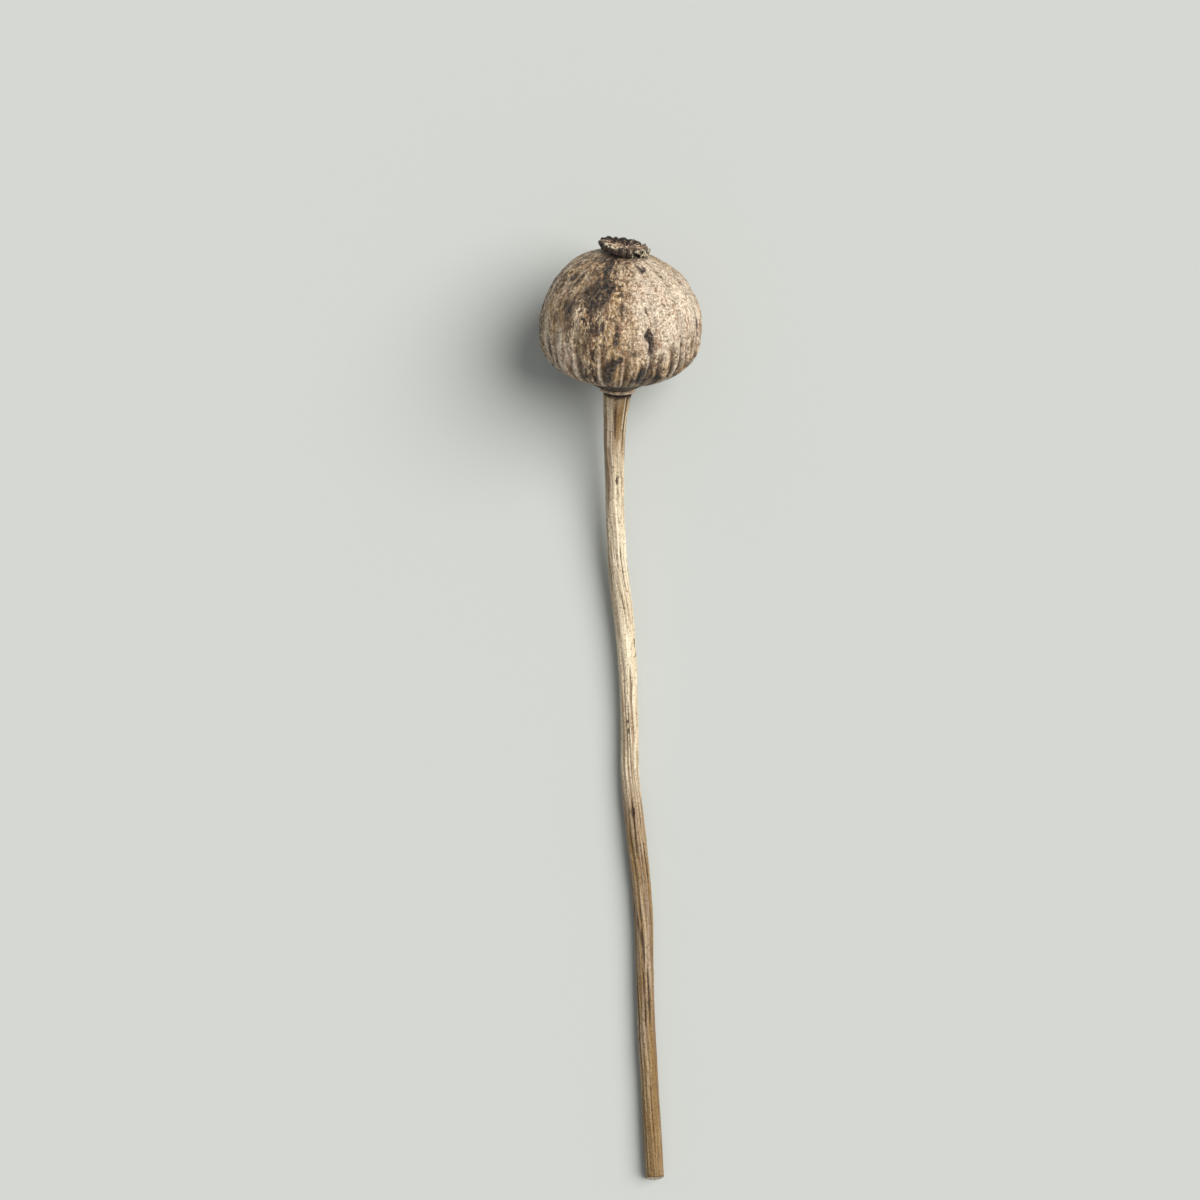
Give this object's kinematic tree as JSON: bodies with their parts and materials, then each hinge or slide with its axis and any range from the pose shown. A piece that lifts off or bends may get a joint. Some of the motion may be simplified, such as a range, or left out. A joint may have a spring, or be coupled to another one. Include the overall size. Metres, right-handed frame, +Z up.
{
  "type": "poppy seed head",
  "caption": "Dried poppy seed head: a lobed round capsule with a rayed stigma crown, on a receptacle and a long curved cut stem, lying on its side.",
  "frame": {"origin": "under the middle of the part's bounding box, on the surface that the part rests on", "axes": "+Z up from the surface; +Y from the cut end of the stem towards the seed head; +X to the right when the head is seen from above with the crown away from the viewer"},
  "size_m": [0.0554, 0.3284, 0.0556],
  "materials": {
    "capsule_skin": "dry parchment-like skin, tan with cream wear, brown speckles and purple-grey stains along the grooves",
    "crown_skin": "dry and brittle, dark brown with pale velvety rays",
    "receptacle_skin": "dry corky ring, brown with a dark scar line",
    "stem_skin": "dry straw-coloured fluted stem with brown streaks, slightly glossy on the ridges"
  },
  "bodies": {
    "root": {"capsule": "capsule_skin", "stigma_crown": "crown_skin", "receptacle": "receptacle_skin", "stem": "stem_skin"}
  },
  "joints": []
}
